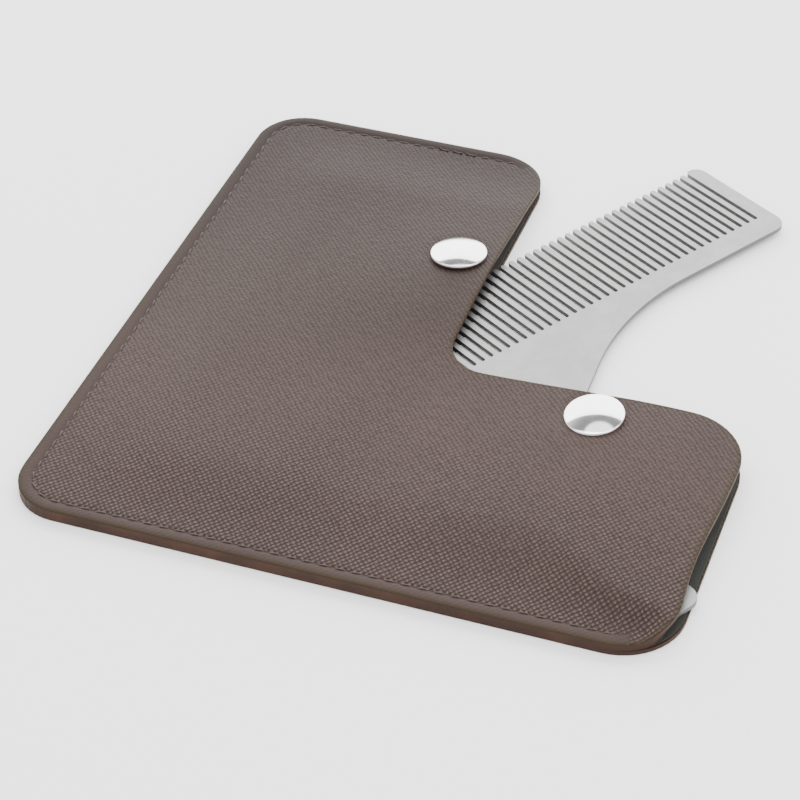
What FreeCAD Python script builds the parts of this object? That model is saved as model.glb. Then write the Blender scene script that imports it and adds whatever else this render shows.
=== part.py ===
import FreeCAD, Part
import math
import os

import Sketcher
from FreeCAD import Placement, Rotation, Vector

# A steel beard comb, held in a stitched L-shaped leather pouch that two press studs close.
# While it is built, the pouch's lower left corner is the origin: X runs along its bottom edge,
# Y up its left edge, Z through its thickness. At the end everything moves onto its base centre.

SIZES = [
    # pouch outline
    ("pouch_width", 136.2), ("pouch_height", 147.9), ("arm_width", 69.4), ("wing_height", 66.2),
    ("left_corner", 11.0), ("right_corner", 13.0), ("notch_corner", 9.0),
    # layers of the pouch
    ("leather", 1.0), ("lining", 0.3), ("lining_inset", 0.4), ("glue_line", 0.02), ("seam_gap", 0.05),
    # hollow between the panels: its height, where it is widest, and how far it spreads
    ("base_gap", 1.25), ("seam_band", 3.9), ("seam_rise", 22.0), ("drape_step", 4.0),
    ("blade_rise", 6.0), ("blade_rise_from", 90.0), ("blade_rise_over", 36.0), ("bottom_closed_end", 129.0),
    ("arm_bulge", 2.35), ("arm_bulge_x", 68.0), ("arm_bulge_y", 97.0), ("arm_spread_x", 28.0), ("arm_spread_y", 26.0),
    ("wing_bulge", 2.6), ("wing_bulge_x", 118.0), ("wing_bulge_y", 58.0), ("wing_spread_x", 30.0),
    ("wing_spread_y", 50.0),
    # shallow arc by which the front's wing edge draws back from the back's
    ("draw_depth", 1.7), ("draw_along", 26.0), ("draw_radius", 170.0),
    # lifting edges of the front panel: the arm's hinge point and where each fold meets the outline
    ("slit", 0.3), ("arm_hinge_across", 28.0), ("arm_hinge_along", 98.0), ("fold_past_top_seam", 2.0),
    ("fold_below_top", 1.9), ("fold_above_notch", 10.8), ("fold_past_bottom_seam", 1.2), ("fold_above_bottom", 2.0),
    # stitching
    ("seam_inset", 3.0), ("seam_top_end", 60.0), ("seam_bottom_end", 123.8),
    ("stitch_pitch", 3.3), ("stitch_space", 0.7), ("thread_radius", 0.25),
    # comb plate
    ("plate", 1.0), ("plate_lift", 0.05), ("tooth_pitch", 2.369), ("slot_count", 42), ("slot_width", 1.0),
    ("tooth_length", 23.15), ("tooth_tip", 0.6), ("guard_length", 23.5), ("guard_width", 4.3), ("spine", 5.8),
    ("bend_start", 46.9), ("blade_inner", 95.1), ("blade_corner", 37.09), ("blade_outer", 107.5),
    ("blade_length", 81.0), ("bend_radius", 65.0), ("heel_radius", 20.0), ("corner_radius", 3.5),
    ("guard_radius", 2.5), ("elbow_radius", 8.0), ("comb_turn", 238.603), ("comb_across", 118.603),
    ("comb_along", 141.787),
    # press studs
    ("cap_radius", 6.25), ("cap_rise", 1.75), ("cap_wall", 0.45), ("cap_rim", 0.7), ("play", 0.05),
    ("rivet_radius", 1.2), ("rivet_head", 1.7), ("socket_radius", 4.4), ("socket_bore", 2.55),
    ("socket_depth", 1.75), ("socket_plate", 0.3), ("ring_radius", 2.7), ("ring_wire", 0.28),
    ("ring_height", 0.45), ("ring_groove", 3.15), ("stud_flange", 3.8), ("stud_neck", 1.6), ("stud_head", 2.0),
    ("stud_height", 2.6), ("stud_wall", 0.4), ("post_flange", 4.6), ("post_plate", 0.5), ("post_radius", 1.1),
    ("hole_radius", 1.4),
]

# Each press stud: its name, its place on the pouch, and how its outer half leans with the leather.
SNAPS = [
    ("upper", Vector(61.2, 102.5, 0), Vector(-0.05, 0.07, 1)),
    ("lower", Vector(104.8, 58.8, 0), Vector(-0.08, -0.07, 1)),
]

CUBIC = 3
MARGIN = 5  # mm that a cutting block reaches past the outline
TALL = 20  # mm, more than the whole pouch is thick

doc = FreeCAD.newDocument("comb_and_pouch")
sheet = doc.addObject("Spreadsheet::Sheet", "Sizes")
for row, (alias, number) in enumerate(SIZES, start=1):
    sheet.set(f"A{row}", alias)
    sheet.set(f"B{row}", str(number))
    sheet.setAlias(f"B{row}", alias)
doc.recompute()

parts = []


def size(alias):
    """A driving dimension as a number."""
    return float(sheet.get(alias))


def bound(expression):
    """An expression on the sheet's cells, with every alias pointed at the sheet."""
    words = expression.replace("(", "( ").replace(")", " )").split()
    return " ".join(f"Sizes.{word}" if word in aliases else word for word in words)


aliases = {alias for alias, _ in SIZES}


def value(expression):
    """The number an expression stands for now."""
    result = sheet.evalExpression(bound(expression))
    return float(getattr(result, "Value", result))


def keep(piece, label):
    """Names a finished sub-part and lists it for export."""
    piece.Label = label
    parts.append(piece)
    return piece


# ---------------------------------------------------------------- sketches


def new_sketch(body, plane, name):
    sketch = body.newObject("Sketcher::SketchObject", name)
    origin_plane = next(f for f in body.Origin.OriginFeatures if f.Role == plane)
    sketch.AttachmentSupport = [(origin_plane, "")]
    sketch.MapMode = "FlatFace"
    return sketch


def pin(sketch, kind, edge, end, expression):
    """Holds one coordinate of an edge's end at an expression on the sheet."""
    axis = {"DistanceX": -2, "DistanceY": -1}[kind]
    if expression == "0":
        sketch.addConstraint(Sketcher.Constraint("PointOnObject", edge, end, axis))
        return
    place = sketch.addConstraint(Sketcher.Constraint(kind, -1, 1, edge, end, value(expression)))
    name = f"{kind.lower()}_{edge}_{end}"
    sketch.renameConstraint(place, name)
    sketch.setExpression(f"Constraints.{name}", bound(expression))


def outline_sketch(body, plane, name, corners):
    """A closed outline of straight lines whose corners are pairs of expressions."""
    sketch = new_sketch(body, plane, name)
    points = [Vector(value(across), value(along), 0) for across, along in corners]
    count = len(points)
    for i in range(count):
        sketch.addGeometry(Part.LineSegment(points[i], points[(i + 1) % count]))
    for i in range(count):
        sketch.addConstraint(Sketcher.Constraint("Coincident", i, 2, (i + 1) % count, 1))
    for i, (across, along) in enumerate(corners):
        pin(sketch, "DistanceX", i, 1, across)
        pin(sketch, "DistanceY", i, 1, along)
    return sketch


def circles_sketch(body, plane, name, centres, radius):
    sketch = new_sketch(body, plane, name)
    for i, centre in enumerate(centres):
        sketch.addGeometry(Part.Circle(centre, Vector(0, 0, 1), value(radius)))
        sketch.addConstraint(Sketcher.Constraint("DistanceX", -1, 1, i, 3, centre.x))
        sketch.addConstraint(Sketcher.Constraint("DistanceY", -1, 1, i, 3, centre.y))
        place = sketch.addConstraint(Sketcher.Constraint("Radius", i, value(radius)))
        sketch.renameConstraint(place, f"radius_{i}")
        sketch.setExpression(f"Constraints.radius_{i}", bound(radius))
    return sketch


# ---------------------------------------------------------------- features


def pad(body, sketch, length, name="Pad"):
    feature = body.newObject("PartDesign::Pad", name)
    feature.Profile = sketch
    feature.setExpression("Length", bound(length))
    sketch.Visibility = False
    doc.recompute()
    return feature


def pocket(body, sketch, depth, name, upward=True):
    """Cuts a sketch on the body's own XY plane into the solid above it."""
    before = body.Shape.Volume
    feature = body.newObject("PartDesign::Pocket", name)
    feature.Profile = sketch
    feature.setExpression("Length", bound(depth))
    feature.Reversed = upward
    doc.recompute()
    if body.Shape.Volume >= before - 1e-6:
        raise RuntimeError(f"{name} cut nothing")
    return feature


def upright_edges(shape, corner):
    """Names of the vertical edges that stand on a corner."""
    found = []
    for number, edge in enumerate(shape.Edges, start=1):
        ends = [vertex.Point for vertex in edge.Vertexes]
        if len(ends) == 2 and all(math.dist(end[:2], corner) < 0.01 for end in ends):
            found.append(f"Edge{number}")
    if not found:
        raise RuntimeError(f"no upright edge at {corner}")
    return found


def round_corners(body, corners, radius, name):
    """Rounds the upright edges at these corners, given as pairs of expressions."""
    base = body.Tip
    names = []
    for across, along in corners:
        names += upright_edges(base.Shape, (value(across), value(along)))
    fillet = body.newObject("PartDesign::Fillet", name)
    fillet.Base = (base, names)
    fillet.setExpression("Radius", bound(radius))
    doc.recompute()
    return fillet


def revolved(label, corners, placement, rounded=()):
    """A turned piece: a profile of (radius, height) corners spun round the Z axis."""
    body = doc.addObject("PartDesign::Body", label)
    sketch = outline_sketch(body, "XZ_Plane", f"{label}_profile", corners)
    turn = body.newObject("PartDesign::Revolution", f"{label}_turn")
    turn.Profile = sketch
    turn.ReferenceAxis = (sketch, ["V_Axis"])
    turn.Angle = 360
    sketch.Visibility = False
    doc.recompute()
    for radius_at, height_at, radius in rounded:
        round_rings(body, value(radius_at), value(height_at), radius)
    body.Placement = placement
    return keep(body, label)


def round_rings(body, radius_at, height_at, radius):
    """Rounds the circular edge of that radius and height."""
    base = body.Tip
    names = [
        f"Edge{number}"
        for number, edge in enumerate(base.Shape.Edges, start=1)
        if isinstance(edge.Curve, Part.Circle)
        and abs(edge.Curve.Radius - radius_at) < 0.01
        and abs(edge.Curve.Center.z - height_at) < 0.01
    ]
    fillet = body.newObject("PartDesign::Fillet", f"{body.Name}_round_{len(body.Group)}")
    fillet.Base = (base, names)
    fillet.setExpression("Radius", bound(radius))
    doc.recompute()


# ---------------------------------------------------------------- pouch


def pouch_blank(name, inset, height):
    """The pouch's rounded L, pulled in by an inset and padded up from z = 0."""
    low, right = inset, f"pouch_width - {inset}"
    top, arm, wing = f"pouch_height - {inset}", f"arm_width - {inset}", f"wing_height - {inset}"
    corners = [(low, low), (right, low), (right, wing), (arm, wing), (arm, top), (low, top)]
    body = doc.addObject("PartDesign::Body", name)
    pad(body, outline_sketch(body, "XY_Plane", f"{name}_outline", corners), height, f"{name}_pad")
    round_corners(body, [corners[0], corners[5]], f"left_corner - {inset}", f"{name}_left_corners")
    outer = [corners[1], corners[2], corners[4]]
    round_corners(body, outer, f"right_corner - {inset}", f"{name}_right_corners")
    round_corners(body, [corners[3]], f"notch_corner + {inset}", f"{name}_notch_corner")
    return body


def back_layers():
    """The back panel lies flat. Both layers are pierced for the posts, whose heads sink into the leather."""
    places = [place for _, place, _ in SNAPS]
    panel = pouch_blank("back_panel", "0", "leather")
    holes = circles_sketch(panel, "XY_Plane", "back_panel_holes", places, "hole_radius")
    pocket(panel, holes, "leather", "back_panel_pierced")
    seats = circles_sketch(panel, "XY_Plane", "back_panel_seats", places, "post_flange + 0.1")
    pocket(panel, seats, "post_plate", "back_panel_countersunk")
    keep(panel, "back_panel")
    lining = pouch_blank("back_lining", "lining_inset", "lining")
    holes = circles_sketch(lining, "XY_Plane", "back_lining_holes", places, "hole_radius")
    pocket(lining, holes, "lining", "back_lining_pierced")
    lining.Placement = Placement(Vector(0, 0, size("leather")), Rotation())
    keep(lining, "back_lining")


def ease(beyond, rise):
    """0 where the layers are shut, 1 once a place is the rise's width beyond."""
    share = min(max(beyond / rise, 0), 1)
    return share * share * (3 - 2 * share)


def hollow(x, y):
    """Height of the hollow between the linings: shut along the seams, widest at the press studs."""
    band = size("seam_band")
    from_left = max(x - band, 0)
    from_top = math.hypot(max(x - size("seam_top_end"), 0), max(size("pouch_height") - band - y, 0))
    from_bottom = math.hypot(max(x - size("bottom_closed_end"), 0), max(y - band, 0))
    wide, narrow = size("seam_rise"), size("blade_rise")
    bottom_rise = wide + (narrow - wide) * ease(x - size("blade_rise_from"), size("blade_rise_over"))
    sewn = ease(from_left, wide) * ease(from_top, wide) * ease(from_bottom, bottom_rise)
    rise = size("base_gap") + bulge("arm", x, y) + bulge("wing", x, y)
    return size("seam_gap") + sewn * (rise - size("seam_gap"))


def bulge(limb, x, y):
    """How far one press stud's surroundings stand up over the rest of the hollow."""
    across = (x - size(f"{limb}_bulge_x")) / size(f"{limb}_spread_x")
    along = (y - size(f"{limb}_bulge_y")) / size(f"{limb}_spread_y")
    return size(f"{limb}_bulge") * math.exp(-(across**2) - along**2)


def draped_sheet(lift, thickness):
    """A sheet of leather or lining that follows the hollow, larger than the pouch all round.

    The hollow's heights are the poles of a cubic surface, so that it never dips below them.
    """
    knots = [spline_knots(size(alias)) for alias in ("pouch_width", "pouch_height")]
    across, along = (pole_places(line) for line in knots)
    under = size("leather") + size("lining") + lift
    poles = [[Vector(x, y, under + hollow(x, y)) for y in along] for x in across]
    repeats = [[CUBIC + 1] + [1] * (len(line) - 2) + [CUBIC + 1] for line in knots]
    surface = Part.BSplineSurface()
    surface.buildFromPolesMultsKnots(poles, *repeats, *knots, False, False, CUBIC, CUBIC)
    return Part.Face(surface).extrude(Vector(0, 0, thickness))


def spline_knots(length):
    """Evenly spaced knots that reach two steps past both ends of a length."""
    step = size("drape_step")
    return [step * i for i in range(-2, math.ceil(length / step) + 3)]


def pole_places(knots):
    """Where the poles belong between the knots for the surface to keep an even pace."""
    line = knots[:1] * CUBIC + knots + knots[-1:] * CUBIC
    return [sum(line[i + 1 : i + 1 + CUBIC]) / CUBIC for i in range(len(knots) + CUBIC - 1)]


def region(corners, grow=0):
    """A tall block over a patch of the front panel."""
    face = Part.Face(Part.makePolygon([Vector(x, y, 0) for x, y in corners + corners[:1]]))
    if grow:
        face = face.makeOffset2D(grow)
    return face.extrude(Vector(0, 0, TALL))


def arm_patch():
    """The wedge of the upper arm that lifts: from its hinge point to the seam's end and the notch."""
    hinge = (size("arm_hinge_across"), size("arm_hinge_along"))
    edge = size("arm_width") + MARGIN
    seam_run = size("seam_top_end") + size("fold_past_top_seam") - hinge[0]
    seam_slope = (size("pouch_height") - size("fold_below_top") - hinge[1]) / seam_run
    notch_rise = size("wing_height") + size("fold_above_notch") - hinge[1]
    notch_slope = notch_rise / (size("arm_width") - hinge[0])
    top = (edge, hinge[1] + seam_slope * (edge - hinge[0]))
    bottom = (edge, hinge[1] + notch_slope * (edge - hinge[0]))
    return [hinge, bottom, top]


def wing_hinge():
    """The fold of the lower wing: from the middle of the notch corner to the end of the bottom seam."""
    reach = size("notch_corner") * (1 - math.sqrt(0.5))
    start = (size("arm_width") + reach, size("wing_height") + reach)
    return start, (size("seam_bottom_end") + size("fold_past_bottom_seam"), size("fold_above_bottom"))


def wing_patch():
    start, end = wing_hinge()
    slope = (end[0] - start[0]) / (end[1] - start[1])
    low, right = -MARGIN, size("pouch_width") + MARGIN
    notch = (size("arm_width") + size("notch_corner"), size("wing_height") + size("notch_corner"))
    return [start, (end[0] + slope * (low - end[1]), low), (right, low), (right, notch[1]), notch]


def front_layers():
    """The front panel and its lining, each in three: the sewn part, the arm's edge and the wing's edge."""
    slit = size("slit")
    layers = [
        ("panel", "0", size("lining") + size("glue_line"), size("leather")),
        ("lining", "lining_inset", 0, size("lining")),
    ]
    holes = [Part.makeCylinder(size("hole_radius"), TALL, place) for _, place, _ in SNAPS]
    arc, depth = size("draw_radius"), size("draw_depth")
    for kind, inset, lift, thickness in layers:
        blank = pouch_blank(f"front_{kind}_blank", inset, str(TALL))
        edge = size("pouch_width") - float(value(inset)) - depth
        drawn = Part.makeCylinder(arc, TALL, Vector(edge + arc, size("draw_along"), 0))
        whole = draped_sheet(lift, thickness).common(blank.Shape).cut(Part.makeCompound(holes)).cut(drawn)
        blank.Visibility = False
        shapes = {
            f"front_{kind}": whole.cut(region(arm_patch(), slit)).cut(region(wing_patch(), slit)),
            f"upper_flap_{kind}": whole.common(region(arm_patch())),
            f"lower_flap_{kind}": whole.common(region(wing_patch())),
        }
        for label, shape in shapes.items():
            piece = doc.addObject("Part::Feature", label)
            piece.Shape = shape.Solids[0]
            keep(piece, label)


def seam_path():
    """The line of stitching: along the top, round the two left corners and along the bottom."""
    inset, left = size("seam_inset"), size("left_corner")
    top, bend = size("pouch_height") - inset, left - inset
    high = Vector(left, size("pouch_height") - left, 0)
    low = Vector(left, left, 0)
    quarter = bend * math.sqrt(0.5)
    edges = [
        Part.LineSegment(Vector(size("seam_top_end"), top, 0), Vector(left, top, 0)),
        Part.Arc(Vector(left, top, 0), high + Vector(-quarter, quarter, 0), Vector(inset, high.y, 0)),
        Part.LineSegment(Vector(inset, high.y, 0), Vector(inset, left, 0)),
        Part.Arc(Vector(inset, left, 0), low + Vector(-quarter, -quarter, 0), Vector(left, inset, 0)),
        Part.LineSegment(Vector(left, inset, 0), Vector(size("seam_bottom_end"), inset, 0)),
    ]
    return Part.Wire([edge.toShape() for edge in edges])


def seam_thread():
    """The runs of thread that show on the front and, sunk flush, on the back."""
    path = seam_path()
    holes = path.discretize(Number=round(path.Length / size("stitch_pitch")) + 1)
    radius, space = size("thread_radius"), size("stitch_space")
    front = 2 * (size("leather") + size("lining")) + size("seam_gap") + size("glue_line")
    runs = []
    for first, second in zip(holes, holes[1:]):
        along = second - first
        length = along.Length - space
        along.normalize()
        for height in (radius, front):
            start = first + along * (space / 2) + Vector(0, 0, height)
            runs.append(Part.makeCylinder(radius, length, start, along))
    thread = doc.addObject("Part::Feature", "seam_thread")
    thread.Shape = Part.makeCompound(runs)
    keep(thread, "seam_thread")


# ---------------------------------------------------------------- comb


def comb_plate():
    """One flat plate: a toothed arm, a long bend and a straight blade square to the arm."""
    body = doc.addObject("PartDesign::Body", "comb_plate")
    corners = [
        ("-1 * guard_width", "spine"),
        ("bend_start", "spine"),
        ("blade_inner", "blade_corner"),
        ("blade_inner", "blade_length"),
        ("blade_outer", "blade_length"),
        ("blade_outer", "-1 * guard_length"),
        ("-1 * guard_width", "-1 * guard_length"),
    ]
    pad(body, outline_sketch(body, "XY_Plane", "comb_outline", corners), "plate", "comb_pad")
    round_corners(body, [corners[0], corners[3], corners[4]], "corner_radius", "comb_ends")
    round_corners(body, [corners[1]], "bend_radius", "comb_bend")
    round_corners(body, [corners[2]], "heel_radius", "comb_heel")
    round_corners(body, [corners[5]], "elbow_radius", "comb_elbow")
    round_corners(body, [corners[6]], "guard_radius", "comb_guard")
    tooth_slots(body)
    body.Placement = Placement(
        Vector(size("comb_across"), size("comb_along"), size("leather") + size("lining") + size("plate_lift")),
        Rotation(Vector(0, 0, 1), size("comb_turn")),
    )
    keep(body, "comb_plate")


def tooth_slots(body):
    """One slot with a round end and a flared mouth, repeated at the tooth pitch."""
    half, tip = size("slot_width") / 2, size("tooth_tip")
    mouth, outside = -size("tooth_length"), -size("guard_length") - 1
    reach = size("tooth_pitch") / 2 + size("play")  # the mouths run together, which leaves the tips bare
    sketch = new_sketch(body, "XY_Plane", "slot_outline")
    lean = tip * (1 - math.sqrt(0.5))
    top = [Vector(-half, -half, 0), Vector(0, 0, 0), Vector(half, -half, 0)]
    flare = [Vector(half, mouth + tip, 0), Vector(half + lean, mouth + lean, 0), Vector(half + tip, mouth, 0)]
    mirror = [Vector(-point.x, point.y, 0) for point in flare]
    lines = [
        (top[2], flare[0]),
        (flare[2], Vector(reach, mouth, 0)),
        (Vector(reach, mouth, 0), Vector(reach, outside, 0)),
        (Vector(reach, outside, 0), Vector(-reach, outside, 0)),
        (Vector(-reach, outside, 0), Vector(-reach, mouth, 0)),
        (Vector(-reach, mouth, 0), mirror[2]),
        (mirror[0], top[0]),
    ]
    for start, end in lines:
        sketch.addGeometry(Part.LineSegment(start, end))
    for arc in (top, flare, mirror):
        sketch.addGeometry(Part.Arc(*arc))
    slot = pocket(body, sketch, "plate", "slot")
    doc.recompute()
    pattern = body.newObject("PartDesign::LinearPattern", "slots")
    pattern.Originals = [slot]
    pattern.Direction = (sketch, ["H_Axis"])
    pattern.setExpression("Length", bound("tooth_pitch * (slot_count - 1)"))
    pattern.setExpression("Occurrences", bound("slot_count"))
    body.Tip = pattern
    doc.recompute()


# ---------------------------------------------------------------- press studs


def snap_halves(name, place, lean):
    """The five pieces of one press stud, the outer half leaning with the leather it is riveted to."""
    back = Placement(place, Rotation())
    inner_face = size("leather") + size("lining") + hollow(place.x, place.y)
    front = Placement(place + Vector(0, 0, inner_face), Rotation(Vector(0, 0, 1), lean))
    skin = "( leather + lining + glue_line + 0.08 )"
    crown = f"{skin} + cap_rise"
    cap = [
        ("0", "-1 * socket_plate - 0.25"),
        ("rivet_head", "-1 * socket_plate - 0.25"),
        ("rivet_head", "-1 * socket_plate - 0.06"),
        ("rivet_radius", "-1 * socket_plate - 0.06"),
        ("rivet_radius", f"{crown} - cap_wall - 0.1"),
        ("cap_radius * 0.55", f"{crown} - cap_wall - 0.25"),
        ("cap_radius - cap_rim", f"{skin} + 0.45"),
        ("cap_radius - cap_rim", skin),
        ("cap_radius", skin),
        ("cap_radius", f"{skin} + 0.75"),
        ("cap_radius * 0.8", f"{crown} - 0.42"),
        ("cap_radius * 0.45", f"{crown} - 0.08"),
        ("0", crown),
    ]
    revolved(f"{name}_snap_cap", cap, front)
    groove_top = "-1 * socket_depth + ring_height + ring_wire + 0.08"
    groove_bottom = "-1 * socket_depth + ring_height - ring_wire - 0.08"
    socket = [
        ("rivet_radius + 0.05", "-0.04"),
        ("rivet_radius + 0.05", "-1 * socket_plate - 0.04"),
        ("socket_bore", "-1 * socket_plate - 0.04"),
        ("socket_bore", groove_top),
        ("ring_groove", groove_top),
        ("ring_groove", groove_bottom),
        ("socket_bore", groove_bottom),
        ("socket_bore", "-1 * socket_depth"),
        ("socket_radius - 0.9", "-1 * socket_depth"),
        ("socket_radius - 0.6", "-1 * socket_depth + 0.9"),
        ("socket_radius", "-1 * socket_depth + 1.1"),
        ("socket_radius", "-0.04"),
    ]
    revolved(f"{name}_snap_socket", socket, front)
    spring_ring(f"{name}_snap_spring", front)
    deck = "leather + lining"
    stud = [
        ("post_radius + 0.05", deck),
        ("stud_flange", deck),
        ("stud_flange", f"{deck} + stud_wall"),
        ("stud_neck", f"{deck} + stud_wall"),
        ("stud_neck", f"{deck} + stud_height * 0.55"),
        ("stud_head", f"{deck} + stud_height * 0.68"),
        ("stud_head", f"{deck} + stud_height * 0.86"),
        ("stud_head * 0.8", f"{deck} + stud_height"),
        ("post_radius + 0.05", f"{deck} + stud_height"),
    ]
    revolved(f"{name}_snap_stud", stud, back)
    post = [
        ("0", "0"),
        ("post_flange", "0"),
        ("post_flange", "post_plate - 0.1"),
        ("post_flange - 0.3", "post_plate"),
        ("post_radius", "post_plate"),
        ("post_radius", f"{deck} + stud_height * 0.9"),
        ("0", f"{deck} + stud_height * 0.9"),
    ]
    revolved(f"{name}_snap_post", post, back)


def spring_ring(label, front):
    """A split wire ring that lies in the socket's groove, at its opened size."""
    ring = doc.addObject("Part::Torus", label)
    ring.setExpression("Radius1", bound("ring_radius"))
    ring.setExpression("Radius2", bound("ring_wire"))
    ring.Angle3 = 330
    drop = Placement(Vector(0, 0, size("ring_height") - size("socket_depth")), Rotation())
    ring.Placement = front.multiply(drop)
    keep(ring, label)


# ---------------------------------------------------------------- assembly


def check_document():
    """Stops on any object that failed and on any sub-part that isn't one good shape."""
    doc.recompute()
    for item in doc.Objects:
        if "Invalid" in item.State or "Error" in item.State:
            raise RuntimeError(f"{item.Label}: {item.State}")
    for piece in parts:
        if piece.Shape.isNull() or not piece.Shape.isValid() or piece.Shape.Volume <= 0:
            raise RuntimeError(f"{piece.Label} isn't a good solid")


def centre_on_base():
    """Moves every sub-part so that the origin is at the middle of the base, under the pouch and comb."""
    box = FreeCAD.BoundBox()
    for piece in parts:
        if piece.Label in ("back_panel", "comb_plate"):
            box.add(piece.Shape.BoundBox)
    shift = Placement(Vector(-box.Center.x, -box.Center.y, -box.ZMin), Rotation())
    for piece in parts:
        piece.Placement = shift.multiply(piece.Placement)
    doc.recompute()
    print("pouch corner at", [round(x, 4) for x in shift.Base])


def main():
    back_layers()
    front_layers()
    seam_thread()
    comb_plate()
    for snap in SNAPS:
        snap_halves(*snap)
    check_document()
    centre_on_base()
    check_document()
    os.makedirs("parts", exist_ok=True)
    for piece in parts:
        piece.Shape.exportStep(f"parts/{piece.Label}.step")
        box = piece.Shape.BoundBox
        spans = f"{box.XMin:8.2f}{box.XMax:8.2f}{box.YMin:8.2f}{box.YMax:8.2f}{box.ZMin:7.2f}{box.ZMax:7.2f}"
        print(f"{piece.Label:22}{piece.Shape.Volume:10.1f} {spans} solids {len(piece.Shape.Solids)}")


main()
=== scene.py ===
import math

import bmesh
import bpy
import numpy as np
from mathutils import Matrix, Vector
from mathutils.geometry import delaunay_2d_cdt


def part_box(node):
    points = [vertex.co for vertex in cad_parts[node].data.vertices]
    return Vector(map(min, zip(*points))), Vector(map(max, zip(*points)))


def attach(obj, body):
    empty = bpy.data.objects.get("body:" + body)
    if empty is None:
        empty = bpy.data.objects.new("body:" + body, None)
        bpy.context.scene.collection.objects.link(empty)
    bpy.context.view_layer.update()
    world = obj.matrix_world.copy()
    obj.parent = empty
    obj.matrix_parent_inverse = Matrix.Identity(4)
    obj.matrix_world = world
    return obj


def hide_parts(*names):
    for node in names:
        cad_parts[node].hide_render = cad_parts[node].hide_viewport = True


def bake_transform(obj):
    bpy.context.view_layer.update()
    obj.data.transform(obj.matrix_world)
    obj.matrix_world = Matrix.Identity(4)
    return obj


bl_info = {
    "name": "Beard Comb and Leather Pouch",
    "version": (1, 0, 0),
    "blender": (4, 5, 0),
    "location": "View3D > Sidebar > Comb Pouch",
    "description": "Builds a steel beard comb in its stitched leather pouch round a packed frame",
    "category": "Object",
}

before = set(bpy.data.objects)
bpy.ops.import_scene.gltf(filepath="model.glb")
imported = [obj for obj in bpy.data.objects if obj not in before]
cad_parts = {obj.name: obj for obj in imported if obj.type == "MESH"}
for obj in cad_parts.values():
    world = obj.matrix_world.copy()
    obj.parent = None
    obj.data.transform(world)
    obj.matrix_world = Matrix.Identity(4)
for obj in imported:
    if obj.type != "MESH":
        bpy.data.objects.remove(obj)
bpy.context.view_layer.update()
MM = 0.001
POUCH_CORNER, POUCH_FAR_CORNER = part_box("back_panel")
TALL = (POUCH_FAR_CORNER.y - POUCH_CORNER.y) / MM
WIDE = (POUCH_FAR_CORNER.x - POUCH_CORNER.x) / MM


# ---------------------------------------------------------------- settings


def millimetres(name, description, default):
    return bpy.props.FloatProperty(
        name=name, description=description, default=default, min=0.0, precision=3
    )


def colour(name, description, default):
    return bpy.props.FloatVectorProperty(
        name=name, description=description, default=default,
        subtype="COLOR", size=3, min=0.0, max=1.0,
    )


class PouchSettings(bpy.types.PropertyGroup):
    arm_width: millimetres("Arm width", "Width of the upper arm of the pouch, in mm", 69.4)
    wing_height: millimetres("Wing height", "Height of the lower wing of the pouch, in mm", 66.2)
    left_corner: millimetres("Left corners", "Radius of the two left corners, in mm", 11.0)
    right_corner: millimetres("Right corners", "Radius of the three right corners, in mm", 13.0)
    notch_corner: millimetres("Notch corner", "Radius of the inner corner, in mm", 9.0)
    leather: millimetres("Leather", "Thickness of the leather, in mm", 1.0)
    lining: millimetres("Lining", "Thickness of the lining, in mm", 0.3)
    mesh_step: millimetres("Mesh step", "Distance between mesh points on the panels, in mm", 1.25)
    leather_colour: colour("Leather", "Colour of the embossed leather", (0.043, 0.0268, 0.0225))
    edge_colour: colour("Edge paint", "Colour of the painted edges", (0.037, 0.016, 0.009))
    rim_colour: colour(
        "Rim", "Colour of the edge paint where it laps on to the face", (0.026, 0.017, 0.007)
    )
    lining_colour: colour("Lining", "Colour of the lining", (0.008, 0.0085, 0.0065))
    grain_pitch: millimetres("Grain pitch", "Distance between two grooves of the embossing, in mm", 0.92)


class SeamSettings(bpy.types.PropertyGroup):
    inset: millimetres("Inset", "Distance of the stitching from the edge, in mm", 3.0)
    top_end: millimetres("Top end", "Where the stitching ends along the top edge, in mm", 60.0)
    bottom_end: millimetres("Bottom end", "Where the stitching ends along the bottom edge, in mm", 123.8)
    pitch: millimetres("Pitch", "Distance from one stitch hole to the next, in mm", 3.3)
    stitch: millimetres("Stitch", "Length of thread that shows between two holes, in mm", 2.3)
    thread: millimetres("Thread", "Radius of the thread, in mm", 0.22)
    lean: bpy.props.FloatProperty(
        name="Lean", description="How far each stitch turns from the seam",
        default=math.radians(7), subtype="ANGLE",
    )
    thread_colour: colour("Thread", "Colour of the thread", (0.017, 0.008, 0.005))


class CombSettings(bpy.types.PropertyGroup):
    plate: millimetres("Plate", "Thickness of the comb, in mm", 1.0)
    tooth_pitch: millimetres("Tooth pitch", "Distance from one tooth to the next, in mm", 2.369)
    slot_count: bpy.props.IntProperty(
        name="Slots", description="Number of slots between the teeth", default=42, min=1
    )
    slot_width: millimetres("Slot width", "Width of the slot between two teeth, in mm", 1.0)
    tooth_length: millimetres("Tooth length", "Length of a tooth, in mm", 23.15)
    tooth_tip: millimetres("Tooth tip", "Rounding of a tooth's tip, in mm", 0.6)
    bevel: millimetres("Edge", "Width of the polished bevel round the plate, in mm", 0.11)
    # Darker than the satin steel, partly as duller cut steel and partly as painted shade of the slot walls.
    cut_steel_and_shade_colour: colour("Cut steel", "Colour of the plate's cut faces", (0.17, 0.17, 0.168))
    steel_colour: colour("Steel", "Colour of the satin steel", (0.25, 0.25, 0.248))


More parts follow.
